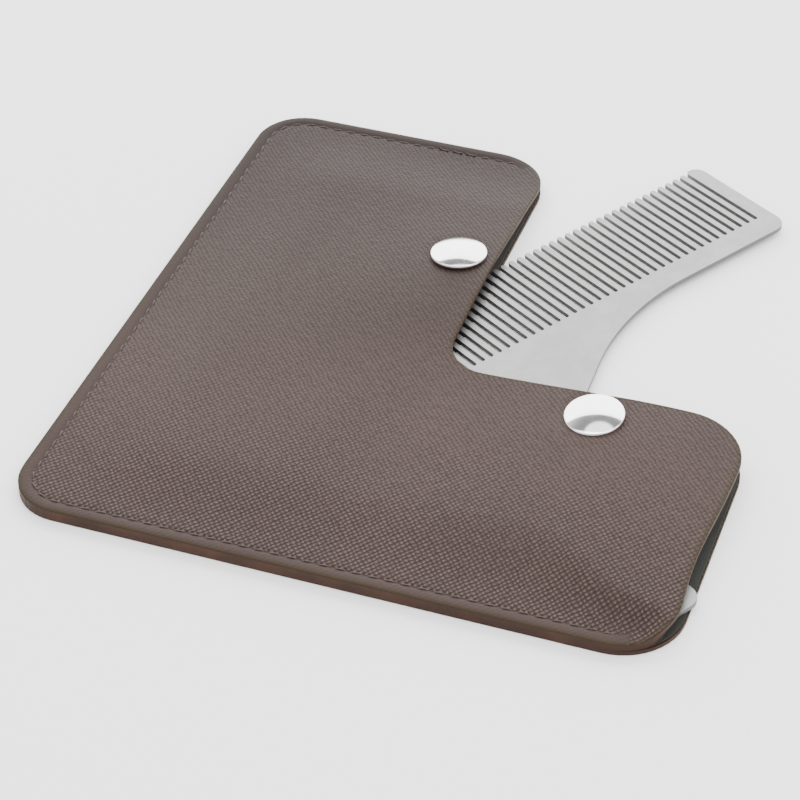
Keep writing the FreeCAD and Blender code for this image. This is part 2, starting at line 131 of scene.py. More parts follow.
class SnapSettings(bpy.types.PropertyGroup):
    cap_radius: millimetres("Cap radius", "Radius of the cap, in mm", 6.25)
    cap_rise: millimetres("Cap rise", "Height of the cap's dome over the leather, in mm", 1.75)
    dome_radius: millimetres("Dome radius", "Radius that the cap's dome is pressed to, in mm", 16.0)
    turns: bpy.props.IntProperty(
        name="Turns", description="Faces round each turned piece", default=72, min=12
    )
    chrome_colour: colour("Chrome", "Colour of the polished caps", (0.86, 0.86, 0.87))
    nickel_colour: colour("Nickel", "Colour of the plated inner parts", (0.62, 0.6, 0.57))


class StageSettings(bpy.types.PropertyGroup):
    floor_colour: colour("Floor", "Colour of the floor", (0.97, 0.97, 0.97))
    world_strength: bpy.props.FloatProperty(
        name="Sky", description="Strength of the even light", default=1.5
    )
    lens: bpy.props.FloatProperty(
        name="Lens", description="Focal length of the camera, in mm", default=116.49
    )


GROUPS = {
    "comb_pouch_pouch": PouchSettings,
    "comb_pouch_seam": SeamSettings,
    "comb_pouch_comb": CombSettings,
    "comb_pouch_snap": SnapSettings,
    "comb_pouch_stage": StageSettings,
}


def settings(kind):
    return getattr(bpy.context.scene, f"comb_pouch_{kind}")


# ---------------------------------------------------------------- shader trees


class Value:
    """A socket of a shader tree that Python's operators can work on."""

    def __init__(self, shader, socket):
        self.shader, self.socket = shader, socket

    def maths(self, operation, *inputs):
        return self.shader.add("Math", {"operation": operation}, dict(enumerate(inputs)))

    def __add__(self, other):
        return self.maths("ADD", self, other)

    def __sub__(self, other):
        return self.maths("SUBTRACT", self, other)

    def __rsub__(self, other):
        return self.maths("SUBTRACT", other, self)

    def __mul__(self, other):
        return self.maths("MULTIPLY", self, other)

    def __pow__(self, other):
        return self.maths("POWER", self, other)

    __radd__, __rmul__ = __add__, __mul__

    def sine(self):
        return self.maths("SINE", self)

    def size(self):
        return self.maths("ABSOLUTE", self)

    def ramp(self, low, high, start=0.0, end=1.0):
        """0 to 1 (or start to end) as the value goes from low to high, with soft ends."""
        ranges = {"Value": self, "From Min": low, "From Max": high, "To Min": start, "To Max": end}
        return self.shader.add("MapRange", {"interpolation_type": "SMOOTHSTEP"}, ranges)


class Shader:
    """A material's node tree. add() makes any node; link targets are the Principled shader's sockets."""

    def __init__(self, name):
        self.material = bpy.data.materials.new(name)
        self.material.use_nodes = True
        self.tree = self.material.node_tree
        self.surface = self.tree.nodes["Principled BSDF"]

    def add(self, kind, options=None, inputs=None, output=0):
        node = self.tree.nodes.new(f"ShaderNode{kind}")
        for name, option in (options or {}).items():
            setattr(node, name, option)
        for name, given in (inputs or {}).items():
            self.feed(node.inputs[name], given)
        return Value(self, node.outputs[output])

    def feed(self, socket, given):
        if isinstance(given, Value):
            self.tree.links.new(given.socket, socket)
        elif hasattr(given, "__len__") and socket.type == "RGBA":
            socket.default_value = (*given[:3], 1.0)
        else:
            socket.default_value = given

    def set(self, **inputs):
        for name, given in inputs.items():
            self.feed(self.surface.inputs[name.replace("_", " ")], given)
        return self

    def place(self):
        """Object coordinates in millimetres."""
        where = self.add("TexCoord", output="Object")
        return self.add("VectorMath", {"operation": "SCALE"}, {0: where, "Scale": 1 / MM})

    def parts_of(self, vector):
        node = self.tree.nodes.new("ShaderNodeSeparateXYZ")
        self.feed(node.inputs[0], vector)
        return [Value(self, socket) for socket in node.outputs]

    def noise(self, vector, scale, detail=2.0, roughness=0.5):
        inputs = {"Vector": vector, "Scale": scale, "Detail": detail, "Roughness": roughness}
        return self.add("TexNoise", None, inputs)

    def blend(self, share, first, second):
        """A colour that goes from first to second as share goes from 0 to 1."""
        node = self.tree.nodes.new("ShaderNodeMix")
        node.data_type = "RGBA"
        for name, given in (("Factor_Float", share), ("A_Color", first), ("B_Color", second)):
            self.feed(next(s for s in node.inputs if s.identifier == name), given)
        return Value(self, next(s for s in node.outputs if s.identifier == "Result_Color"))

    def attribute(self, name):
        node = self.tree.nodes.new("ShaderNodeAttribute")
        node.attribute_name = name
        return Value(self, node.outputs["Fac"])

    def bump(self, height, depth, strength=1.0):
        """A normal from a height of 0 to 1 that stands for a depth in millimetres."""
        inputs = {"Height": height, "Distance": depth * MM, "Strength": strength}
        return self.add("Bump", None, inputs)


def shade(colour_value, factor):
    """A colour made lighter or darker."""
    return tuple(min(max(channel * factor, 0.0), 1.0) for channel in colour_value)


def leather_material():
    """Embossed leather: two crossing sets of fine grooves that leave beads between them.

    The second set fades towards the top of the pouch, where the colour is also darkened as painted shade.
    The grooves are coloured darker as painted shade, and the bead crests carry painted highlights."""
    look = settings("pouch")
    shader = Shader("embossed_leather")
    place = shader.place()
    x, y, _ = shader.parts_of(place)
    y = y - POUCH_CORNER.y / MM
    drift = shader.noise(place, 0.06, 1.0) * 3.0 + shader.noise(place, 0.6, 2.0) * 3.0
    slope = math.radians(41)
    cycles = math.pi / look.grain_pitch
    along, across = x * math.cos(slope), y * math.sin(slope)
    rising = ((along + across) * cycles + drift).sine().size() ** 0.7
    falling = ((along - across) * cycles + drift * 0.8).sine().size() ** 0.7
    wandering = y + shader.noise(place, 0.04, 2.0) * 40.0
    low_side = wandering.ramp(82.0, 26.0, 0.14, 0.85)
    hatch = (1.0 - (1.0 - rising) * 0.5) * (1.0 - (1.0 - falling) * low_side)
    fine = shader.noise(place, 2.0, 4.0, 0.7)
    broken = hatch * shader.noise(place, 0.8, 2.0, 0.6).ramp(0.25, 0.75, 0.72, 1.1)
    margin = shader.attribute("sewn_margin")
    inner = shader.attribute("edge_distance")
    grain = broken * margin.ramp(0.0, 1.0, 1.0, 0.25)
    height = grain + fine * 0.45
    mottle = shader.noise(place, 0.03, 3.0, 0.55).ramp(0.3, 0.7)
    base = shader.blend(mottle, shade(look.leather_colour, 0.92), shade(look.leather_colour, 1.08))
    # Painted shade: the base colour darkens towards the top of the pouch.
    base = shader.blend(y.ramp(30.0, 150.0), base, shade(look.leather_colour, 0.5))
    # Painted shade: the low grooves of the grain are coloured darker than the beads, less so in the flat
    # sewn margin.
    shown = grain.ramp(0.15, 0.85) * (1.0 - margin) + margin * 0.8
    sunk = shader.blend(shown, shade(look.leather_colour, 0.32), base)
    # Painted highlights: small light glints on the bead crests, strongest on the lower side of the pouch.
    painted_glints = (rising * falling).ramp(0.7, 1.0) * fine.ramp(0.35, 0.6) * (1.0 - margin)
    crown = shader.blend(painted_glints * low_side * 0.8, sunk, shade(look.leather_colour, 3.2))
    rim = shader.blend(inner.ramp(0.3, 1.25, 0.8, 0.0), crown, look.rim_colour)
    roughness = 0.6 - grain * 0.12 + fine * 0.1
    shader.set(Base_Color=rim, Roughness=roughness, Normal=shader.bump(height, 0.17))
    shader.set(Specular_IOR_Level=0.12)
    return shader.material


def edge_material():
    """Edge paint: a smooth film with a faint ripple, over the cut plies."""
    look = settings("pouch")
    shader = Shader("edge_paint")
    place = shader.place()
    ripple = shader.noise(place, 0.9, 3.0, 0.6)
    mottle = shader.noise(place, 0.12, 2.0)
    tint = shader.blend(mottle.ramp(0.3, 0.7), shade(look.edge_colour, 0.75), shade(look.edge_colour, 1.3))
    shader.set(Base_Color=tint, Roughness=0.5 + ripple * 0.2, Normal=shader.bump(ripple, 0.08, 0.7))
    shader.set(Specular_IOR_Level=0.2)
    return shader.material


def lining_material():
    """Napped lining: short dark fibres."""
    look = settings("pouch")
    shader = Shader("napped_lining")
    place = shader.place()
    fibres = shader.noise(place, 4.5, 4.0, 0.7)
    patches = shader.noise(place, 0.2, 2.0)
    mix = fibres * 0.6 + patches * 0.4
    tint = shader.blend(mix, shade(look.lining_colour, 0.5), shade(look.lining_colour, 1.9))
    shader.set(Base_Color=tint, Roughness=0.92, Normal=shader.bump(fibres, 0.12, 0.8), Sheen_Weight=0.05)
    return shader.material


def thread_material():
    """Waxed thread: two plies twisted along the seam, with painted shade in the grooves between them."""
    look = settings("seam")
    shader = Shader("waxed_thread")
    place = shader.place()
    x, y, _ = shader.parts_of(place)
    twist = ((x + y) * 9.0 + shader.noise(place, 1.5) * 2.0).sine() * 0.5 + 0.5
    wear = shader.noise(place, 0.4, 2.0)
    mix = twist * 0.6 + wear * 0.4
    # Painted shade: the tint is darker where the twist runs low between the plies; the wear noise varies it
    # at random.
    tint = shader.blend(mix, shade(look.thread_colour, 0.55), shade(look.thread_colour, 1.6))
    shader.set(Base_Color=tint, Roughness=0.6, Normal=shader.bump(twist, 0.05, 0.8))
    return shader.material


def steel_material():
    """Satin stainless steel: fine tumbled grain with faint streaks along the plate."""
    look = settings("comb")
    shader = Shader("satin_steel")
    place = shader.place()
    grain = shader.noise(place, 7.0, 3.0, 0.7)
    cloud = shader.noise(place, 0.22, 3.0, 0.6)
    tint = shader.blend(cloud.ramp(0.3, 0.7), shade(look.steel_colour, 0.9), shade(look.steel_colour, 1.08))
    speck = shader.blend(grain.ramp(0.35, 0.75) * 0.35, tint, shade(look.steel_colour, 0.78))
    roughness = 0.36 + grain * 0.12 + cloud * 0.06
    shader.set(Base_Color=speck, Metallic=1.0, Roughness=roughness, Normal=shader.bump(grain, 0.012, 0.6))
    return shader.material


def cut_steel_material():
    """The cut faces of the plate: duller than its satin sides, and darker, partly as duller cut steel and
    partly as painted shade of the slot walls.
    """
    look = settings("comb")
    shader = Shader("cut_steel")
    place = shader.place()
    streaks = shader.noise(place, 3.0, 3.0, 0.7)
    # Painted shade in part: the cut faces, such as the slot walls, are coloured darker than the satin sides.
    tint = shader.blend(streaks, shade(look.cut_steel_and_shade_colour, 0.7), shade(look.cut_steel_and_shade_colour, 1.2))
    shader.set(Base_Color=tint, Metallic=0.8, Roughness=0.5 + streaks * 0.15)
    shader.set(Normal=shader.bump(streaks, 0.02, 0.6))
    return shader.material


def chrome_material():
    """Polished chrome with faint wiping marks."""
    look = settings("snap")
    shader = Shader("polished_chrome")
    place = shader.place()
    smear = shader.noise(place, 0.5, 3.0, 0.6)
    fine = shader.noise(place, 5.0, 2.0, 0.6)
    tint = shader.blend(smear.ramp(0.35, 0.7), shade(look.chrome_colour, 0.93), look.chrome_colour)
    shader.set(Base_Color=tint, Metallic=1.0, Roughness=0.05 + smear * 0.09)
    shader.set(Normal=shader.bump(fine, 0.004, 0.4))
    return shader.material


def nickel_material(name="plated_nickel", tone=1.0):
    """Plated inner parts: duller than the caps, with cloudy darker patches."""
    look = settings("snap")
    shader = Shader(name)
    place = shader.place()
    cloud = shader.noise(place, 0.9, 3.0, 0.6)
    bright = shade(look.nickel_colour, tone)
    tint = shader.blend(cloud.ramp(0.3, 0.7), shade(look.nickel_colour, 0.8 * tone), bright)
    shader.set(Base_Color=tint, Metallic=1.0, Roughness=0.22 + cloud * 0.16)
    shader.set(Normal=shader.bump(cloud, 0.01, 0.5))
    return shader.material


# ---------------------------------------------------------------- meshes


def corner_arcs(corners, radii):
    """For each corner of a closed outline: the arc's centre, its start, and how far it turns."""
    arcs = []
    count = len(corners)
    for i, radius in enumerate(radii):
        corner = Vector(corners[i])
        arriving = (corner - Vector(corners[i - 1])).normalized()
        leaving = (Vector(corners[(i + 1) % count]) - corner).normalized()
        turn = math.atan2(arriving.x * leaving.y - arriving.y * leaving.x, arriving.dot(leaving))
        start = corner - arriving * radius * math.tan(abs(turn) / 2)
        side = math.copysign(radius, turn)
        centre = start + Vector((-arriving.y, arriving.x)) * side
        arcs.append((centre, start, turn))
    return arcs


def round_points(arcs, arc_steps, run_steps):
    """Points along an outline's arcs and the straight runs between them."""
    points = []
    for i, (centre, start, turn) in enumerate(arcs):
        spoke = start - centre
        for k in range(arc_steps[i] + 1):
            points.append(centre + Matrix.Rotation(turn * k / arc_steps[i], 2) @ spoke)
        following = arcs[(i + 1) % len(arcs)][1]
        last = points[-1]
        points += [last.lerp(following, k / run_steps[i]) for k in range(1, run_steps[i])]
    return points


ARC_STEPS = (10, 12, 12, 10, 12, 10)
EDGE_LOOPS = (0.0, 0.1, 0.28, 0.6, 1.2, 1.9, 2.4, 2.75, 3.0, 3.25, 3.6, 4.2, 5.2, 6.4)
INNERMOST = EDGE_LOOPS[-1]
CUTS = ("arm", "wing")


def pouch_loop(inset):
    """The pouch's outline pulled in by an inset, with the same number of points at every inset."""
    look = settings("pouch")

    def arcs_at(depth):
        left, right, inner = look.left_corner - depth, look.right_corner - depth, look.notch_corner + depth
        low, arm, wing = depth, look.arm_width - depth, look.wing_height - depth
        far, top = WIDE - depth, TALL - depth
        corners = [(low, low), (far, low), (far, wing), (arm, wing), (arm, top), (low, top)]
        return corner_arcs(corners, [left, right, right, inner, right, left])

    outer = arcs_at(0)
    run_steps = []
    for i, (centre, start, turn) in enumerate(outer):
        end = centre + Matrix.Rotation(turn, 2) @ (start - centre)
        following = outer[(i + 1) % len(outer)][1]
        run_steps.append(max(2, round((following - end).length / look.mesh_step)))
    return round_points(arcs_at(inset), ARC_STEPS, run_steps)


class FlatPattern:
    """The pouch's L as a flat mesh in mm: loops of points that follow the edge, and a filled middle."""

    def __init__(self, first_inset):
        insets = [first_inset] + [inset for inset in EDGE_LOOPS if inset > first_inset + 0.05]
        loops = [pouch_loop(inset) for inset in insets]
        self.ring = len(loops[0])
        self.rings = len(loops)
        self.points = [point for loop in loops for point in loop]
        self.faces = []
        for k in range(self.rings - 1):
            for i in range(self.ring):
                j = (i + 1) % self.ring
                a, b = k * self.ring, (k + 1) * self.ring
                self.faces.append((a + i, a + j, b + j, b + i))
        self.fill_middle()
        flat = as_array(self.points)
        self.x, self.y = flat[:, 0], flat[:, 1]
        rim = flat[: self.ring]
        self.edge = nearest(flat, rim) + first_inset
        self.edge[: self.ring * self.rings] = np.repeat(insets, self.ring)

    def spoke(self, x, y):
        """The number, round the innermost loop, of its point nearest to a place."""
        base = (self.rings - 1) * self.ring
        inner = self.points[base : base + self.ring]
        return min(range(self.ring), key=lambda i: (inner[i] - Vector((x, y))).length)

    def fill_middle(self):
        """Fills the innermost loop with triangles, some of whose edges follow the front's two cuts."""
        step = settings("pouch").mesh_step
        base = (self.rings - 1) * self.ring
        inner = self.points[base:]
        border = as_array(inner)
        grid = staggered_grid(step)
        grid = grid[inside(grid, border)]
        grid = grid[nearest(grid, border) > step * 0.7]
        edges = [(i, (i + 1) % self.ring) for i in range(self.ring)]
        self.cut_spokes, on_cuts = [], []
        for name in CUTS:
            line = front_cut(name)
            ends = (self.spoke(*line[0]), self.spoke(*line[-1]))
            self.cut_spokes.append(ends)
            route = densify([inner[ends[0]], *[Vector(point) for point in line[1:-1]], inner[ends[1]]], step)
            grid = grid[nearest(grid, as_array(route)) > step * 0.6]
            first = self.ring + len(on_cuts)
            on_cuts += route[1:-1]
            chain = [ends[0], *range(first, self.ring + len(on_cuts)), ends[1]]
            edges += list(zip(chain, chain[1:]))
        places = list(inner) + on_cuts + [Vector(place) for place in grid]
        result = delaunay_2d_cdt(places, edges, [list(range(self.ring))], 1, 1e-7)
        placed, faces, origins = result[0], result[2], result[3]
        number = {}
        for k, (place, origin) in enumerate(zip(placed, origins)):
            known = [i for i in origin if i < self.ring]
            if known:
                number[k] = base + known[0]
            else:
                number[k] = len(self.points)
                self.points.append(place)
        self.faces += [tuple(number[i] for i in face) for face in faces]


def as_array(points):
    return np.array([(point.x, point.y) for point in points])


def staggered_grid(step):
    """Points in rows over the whole pouch, every second row moved by half a step."""
    row_step = step * math.sqrt(0.75)
    margin = Vector((0.37, 0.29))
    return np.array([
        (step * (i + 0.5 * (j % 2)) + margin.x, row_step * j + margin.y)
        for j in range(int(TALL / row_step)) for i in range(int(WIDE / step))
    ])


def densify(line, step):
    """A line with more points, about a step apart."""
    points = [line[0]]
    for start, end in zip(line, line[1:]):
        count = max(1, round((end - start).length / step))
        points += [start.lerp(end, k / count) for k in range(1, count + 1)]
    return points


def nearest(points, targets, block=4000):
    """Distance from each point to the nearest target."""
    found = []
    for k in range(0, len(points), block):
        part = points[k : k + block, None, :] - targets[None, :, :]
        found.append(np.sqrt((part ** 2).sum(2).min(1)))
    return np.concatenate(found)


def inside(points, border):
    """Which points lie inside a closed outline."""
    hit = np.zeros(len(points), bool)
    x, y = points[:, 0], points[:, 1]
    for (ax, ay), (bx, by) in zip(border, np.roll(border, -1, 0)):
        crosses = (ay > y) != (by > y)
        with np.errstate(divide="ignore", invalid="ignore"):
            at = (bx - ax) * (y - ay) / (by - ay) + ax
        hit ^= crosses & (x < at)
    return hit


# ---------------------------------------------------------------- shape of the pouch

# The space between the linings: shut in the sewn band, and wider where the leather bulges.
SEWN_BAND = 3.9
BOTTOM_SHUT_END = 129.0
SHUT_GAP = 0.05
OPEN_GAP = 1.2
SEAM_RISE = 22.0
STEEPER_BY, STEEPER_FROM, STEEPER_OVER = 14.0, 100.0, 30.0
ARM_BULGE = ((68, 97), (28, 26), 2.35)
WING_BULGE = ((118, 58), (30, 50), 2.6)

# The wing's edge draws back where the front bends over the stud.
DRAW_DEPTH, DRAW_MIDDLE, DRAW_SPREAD = 1.7, 24, 17
DRAW_FROM, DRAW_OVER = 108.0, 28.0

# The folds that the front's free edges lift from, and how far from a fold the leather is still bent.
HINGE = Vector((28.0, 98.0))
BLEND_WIDTH = 17.0
WING_BLEND_WIDTH = 13.0
PAST_SEAM_END = 2.0
BELOW_TOP = 1.9
ABOVE_NOTCH = 10.8
PAST_BOTTOM_SEAM_END = 1.2
ABOVE_BOTTOM = 2.0
WING_CUT_BEND = Vector((40.0, 66.0))
WING_CUT_LEFT_HEIGHT = 64.0
NOTCH_REACH = 4.5

# Sheets: the glue between leather and lining, and the lining's inset from the edge.
GLUE = 0.02
LINING_INSET = 0.4

# Small relief of the leather's faces.
SEAM_SINK, BACK_SEAM_SINK, SINK_WIDTH = 0.2, 0.14, 0.5
EDGE_ROUND, EDGE_ROUND_WIDTH = 0.16, 0.35
BACK_EDGE_ROUND, BACK_EDGE_ROUND_WIDTH = 0.12, 0.3
MARGIN_SWELL, SWELL_AT, SWELL_WIDTH, SWELL_REACH = 0.1, 1.4, 0.8, 3.4
DIMPLE, DIMPLE_AT, DIMPLE_WIDTH = 0.22, 5.6, 1.6
STITCH_SINK = 0.13

# The leather's sewn edge, where its two panels meet.
SEAM_ZONE = 4.2
SEAM_TAIL = Vector((133.5, 6.0))
MARGIN_START, MARGIN_FADE = 2.7, 0.5
PANEL_MEETING_GAP = 0.03


def arm_folds():
    """The two folds that the arm's free edge lifts from, as directions from the hinge point."""
    look, seam = settings("pouch"), settings("seam")
    to_seam = (Vector((seam.top_end + PAST_SEAM_END, TALL - BELOW_TOP)) - HINGE).normalized()
    to_notch = (Vector((look.arm_width, look.wing_height + ABOVE_NOTCH)) - HINGE).normalized()
    return to_seam, to_notch


def wing_fold():
    """Start and direction of the fold from the middle of the notch corner to the bottom seam's end."""
    look, seam = settings("pouch"), settings("seam")
    reach = look.notch_corner * (1 - math.sqrt(0.5))
    start = Vector((look.arm_width + reach, look.wing_height + reach))
    end = Vector((seam.bottom_end + PAST_BOTTOM_SEAM_END, ABOVE_BOTTOM))
    return start, (end - start).normalized()


def front_cut(name):
    """A line that divides the front leather where its two neighbours move alike."""
    look = settings("pouch")
    if name == "arm":
        to_seam, to_notch = arm_folds()
        middle = (to_seam + to_notch).normalized()
        reach = (look.arm_width - INNERMOST - HINGE.x) / middle.x
        settled = BLEND_WIDTH / abs(middle.x * to_notch.y - middle.y * to_notch.x)
        left = HINGE - middle * ((HINGE.x - INNERMOST) / middle.x)
        return [HINGE + middle * reach, HINGE + middle * (settled + 1), HINGE, left]
    start, _ = wing_fold()
    at_notch = start - Vector((NOTCH_REACH, NOTCH_REACH))
    return [at_notch, WING_CUT_BEND, Vector((INNERMOST, WING_CUT_LEFT_HEIGHT))]


def ease(distance, start, width):
    """0 up to a start, 1 from a width further on, and a smooth rise between."""
    share = np.clip((distance - start) / width, 0, 1)
    return share * share * (3 - 2 * share)


def bulge(x, y, shape):
    """A smooth mound: its whole height at its centre, and next to nothing far from it."""
    (at_x, at_y), (wide, tall), height = shape
    return height * np.exp(-(((x - at_x) / wide) ** 2) - ((y - at_y) / tall) ** 2)


def hollow(x, y):
    """Height of the space between the linings, in mm: shut at the sewn edges, widest at the studs."""
    seam = settings("seam")
    from_top = np.hypot(np.maximum(x - seam.top_end, 0), np.maximum(TALL - SEWN_BAND - y, 0))
    from_bottom = np.hypot(np.maximum(x - BOTTOM_SHUT_END, 0), np.maximum(y - SEWN_BAND, 0))
    bottom_rise = SEAM_RISE - STEEPER_BY * ease(x, STEEPER_FROM, STEEPER_OVER)
    opened = ease(x, SEWN_BAND, SEAM_RISE) * ease(from_top, 0, SEAM_RISE) * ease(from_bottom, 0, bottom_rise)
    return SHUT_GAP + opened * (OPEN_GAP + bulge(x, y, ARM_BULGE) + bulge(x, y, WING_BULGE))


def ridge(distance, at, width):
    """1 where a distance has one value, falling off smoothly on both sides of it."""
    return np.exp(-(((distance - at) / width) ** 2))


def rounding(distance, width):
    """1 at an edge and 0 from a width further in."""
    return np.clip(1 - distance / width, 0, 1) ** 2


def pulled_in(x, y):
    """How far the front's wing edge draws back from the back's, in mm."""
    return DRAW_DEPTH * ridge(y, DRAW_MIDDLE, DRAW_SPREAD) * ease(x, DRAW_FROM, DRAW_OVER)


def seam_line():
    """The stitching's path in mm, from the top end round the left side to the bottom end."""
    look, seam = settings("pouch"), settings("seam")
    bend = look.left_corner
    quarter = np.linspace(0, math.pi / 2, 13)
    high, low = Vector((bend, TALL - bend)), Vector((bend, bend))
    turned = [high + Vector((-math.sin(a), math.cos(a))) * (bend - seam.inset) for a in quarter]
    turned += [low + Vector((-math.cos(a), -math.sin(a))) * (bend - seam.inset) for a in quarter]
    start, end = Vector((seam.top_end, TALL - seam.inset)), Vector((seam.bottom_end, seam.inset))
    return [start, *turned, end]


def front_relief(pattern):
    """Small shape of the front leather's face: rounded edge, sunk seam, and dimples round the caps."""
    flat = np.stack([pattern.x, pattern.y], 1)
    from_seam = nearest(flat, as_array(densify(seam_line(), 0.5)))
    relief = -SEAM_SINK * ridge(from_seam, 0, SINK_WIDTH)
    relief -= EDGE_ROUND * rounding(pattern.edge, EDGE_ROUND_WIDTH)
    relief += MARGIN_SWELL * ridge(pattern.edge, SWELL_AT, SWELL_WIDTH) * (from_seam < SWELL_REACH)
    for _, centre, _ in SNAPS:
        away = np.hypot(pattern.x - centre[0], pattern.y - centre[1])
        relief -= DIMPLE * ridge(away, DIMPLE_AT, DIMPLE_WIDTH)
    return relief, from_seam


def pouch_place(x, y, z):
    """A place on the pouch, in mm from its lower left corner, in the row frame."""
    return POUCH_CORNER + Vector((x, y, z)) * MM


def new_object(name, mesh, *materials):
    obj = bpy.data.objects.new(name, mesh)
    bpy.context.scene.collection.objects.link(obj)
    for material in materials:
        mesh.materials.append(material)
    return obj


FACE, EDGE_WALL, CUT_WALL = range(3)


def sheet_piece(name, pattern, chosen, top, bottom, materials, attributes, across=0.0):
    """One closed piece of sheet: the chosen faces on top, the same below, and walls all round."""
    count = len(pattern.x)
    shifted = pattern.x - across
    corners = np.concatenate([
        np.stack([shifted, pattern.y, top], 1),
        np.stack([shifted, pattern.y, bottom], 1),
    ])
    used = sorted({i for face in chosen for i in face})
    index = {}
    for k, i in enumerate(used):
        index[i], index[i + count] = k, k + len(used)
    order = used + [i + count for i in used]
    sides, faces, kinds = {}, [], []
    for face in chosen:
        faces.append([index[i] for i in face])
        faces.append([index[i + count] for i in reversed(face)])
        kinds += [FACE, FACE]
        for a, b in zip(face, face[1:] + face[:1]):
            if sides.pop((b, a), None) is None:
                sides[(a, b)] = True
    for a, b in sides:
        faces.append([index[a], index[a + count], index[b + count], index[b]])
        kinds.append(EDGE_WALL if a < pattern.ring and b < pattern.ring else CUT_WALL)
    mesh = bpy.data.meshes.new(name)
    places = corners[order] * MM + np.array(POUCH_CORNER)
    mesh.from_pydata(places.tolist(), [], faces)
    mesh.update()
    mesh.polygons.foreach_set("material_index", [int(kind == EDGE_WALL) for kind in kinds])
    for key, values in attributes.items():
        layer = mesh.attributes.new(key, "FLOAT", "POINT")
        layer.data.foreach_set("value", np.tile(values[used], 2).astype(np.float32))
    obj = new_object(name, mesh, *materials)
    smooth_as_whole(mesh, pattern, index, count, top, bottom, kinds)
    return obj


def surface_normals(pattern, height):
    """Upward normals of a sheet's face, averaged over the faces round each point."""
    places = np.stack([pattern.x, pattern.y, height], 1)
    total = np.zeros_like(places)
    for size in (3, 4):
        faces = np.array([face for face in pattern.faces if len(face) == size])
        first, second, third, last = (places[faces[:, k]] for k in (0, 1, 2, -1))
        if size == 3:
            across = np.cross(second - first, third - first)
        else:
            across = np.cross(third - first, last - second)
        for k in range(size):
            np.add.at(total, faces[:, k], across)
    return total / np.linalg.norm(total, axis=1)[:, None]


def smooth_as_whole(mesh, pattern, index, count, top, bottom, kinds):
    """Gives a piece the normals of the whole sheet, so that no line shows where two pieces meet."""
    upper, lower = surface_normals(pattern, top), -surface_normals(pattern, bottom)
    back = {new: old for old, new in index.items()}
    normals = []
    for polygon, kind in zip(mesh.polygons, kinds):
        for i in polygon.vertices:
            old = back[i]
            if kind != FACE:
                normals.append(polygon.normal[:])
            else:
                normals.append(upper[old] if old < count else lower[old - count])
    mesh.polygons.foreach_set("use_smooth", [True] * len(mesh.polygons))
    mesh.normals_split_custom_set([tuple(normal) for normal in normals])


def front_regions(pattern):
    """The front's faces in three: over the arm's cut, between the cuts, and below the wing's cut."""
    over = [above_cut(pattern, which) for which in (0, 1)]
    regions = {"arm_top": [], "arm_low": [], "wing": []}
    for face in pattern.faces:
        x = sum(pattern.x[i] for i in face) / len(face)
        y = sum(pattern.y[i] for i in face) / len(face)
        if over[0](x, y):
            regions["arm_top"].append(face)
        elif over[1](x, y):
            regions["arm_low"].append(face)
        else:
            regions["wing"].append(face)
    return regions


def above_cut(pattern, which):
    """A test of whether a place lies above one of the two cuts, from edge to edge."""
    base = (pattern.rings - 1) * pattern.ring
    ends = pattern.cut_spokes[which]
    line = front_cut(CUTS[which])
    inner = [pattern.points[base + end] for end in ends]
    outer = [pattern.points[end] for end in ends]
    chain = [outer[0], inner[0], *[Vector(point) for point in line[1:-1]], inner[1], outer[1]]
    chain.sort(key=lambda point: point.x)

    def above(x, y):
        if x >= chain[-1].x:
            a, b = chain[-2], chain[-1]
        else:
            a, b = next(((a, b) for a, b in zip(chain, chain[1:]) if x <= b.x), (chain[0], chain[1]))
        return y > a.y + (b.y - a.y) * (x - a.x) / (b.x - a.x)

    return above


# ---------------------------------------------------------------- turned pieces

SNAPS = (
    ("upper", (61.2, 102.5), Vector((-0.05, 0.07, 1))),
    ("lower", (104.8, 58.8), Vector((-0.08, -0.07, 1))),
)
SOCKET_BED = 0.1


def lathe(name, profile, placement, material, turns):
    """Spins a closed profile of (radius, height) corners in mm round the Z axis."""
    rings = []
    mesh = bmesh.new()
    for radius, height in profile:
        if radius < 1e-6:
            rings.append([mesh.verts.new((0, 0, height))])
        else:
            angles = (2 * math.pi * k / turns for k in range(turns))
            circle = [(radius * math.cos(a), radius * math.sin(a), height) for a in angles]
            rings.append([mesh.verts.new(place) for place in circle])
    for first, second in zip(rings, rings[1:]):
        for k in range(turns):
            j = (k + 1) % turns
            corners = [ring[i % len(ring)] for ring, i in ((first, k), (first, j), (second, j), (second, k))]
            unique = list(dict.fromkeys(corners))
            if len(unique) > 2:
                mesh.faces.new(unique)
    if len(rings[0]) > 1 and len(rings[-1]) > 1:
        for k in range(turns):
            j = (k + 1) % turns
            mesh.faces.new([rings[-1][k], rings[-1][j], rings[0][j], rings[0][k]])
    bmesh.ops.recalc_face_normals(mesh, faces=mesh.faces)
    mesh.transform(placement @ Matrix.Scale(MM, 4))
    data = bpy.data.meshes.new(name)
    mesh.to_mesh(data)
    mesh.free()
    data.polygons.foreach_set("use_smooth", [True] * len(data.polygons))
    data.set_sharp_from_angle(angle=math.radians(42))
    return new_object(name, data, material)


def arc_profile(centre, radius, start, end, steps):
    """Points of an arc in a profile, from one angle to another, in degrees."""
    angles = np.radians(np.linspace(start, end, steps + 1))
    return [(centre[0] + radius * math.cos(a), centre[1] + radius * math.sin(a)) for a in angles]


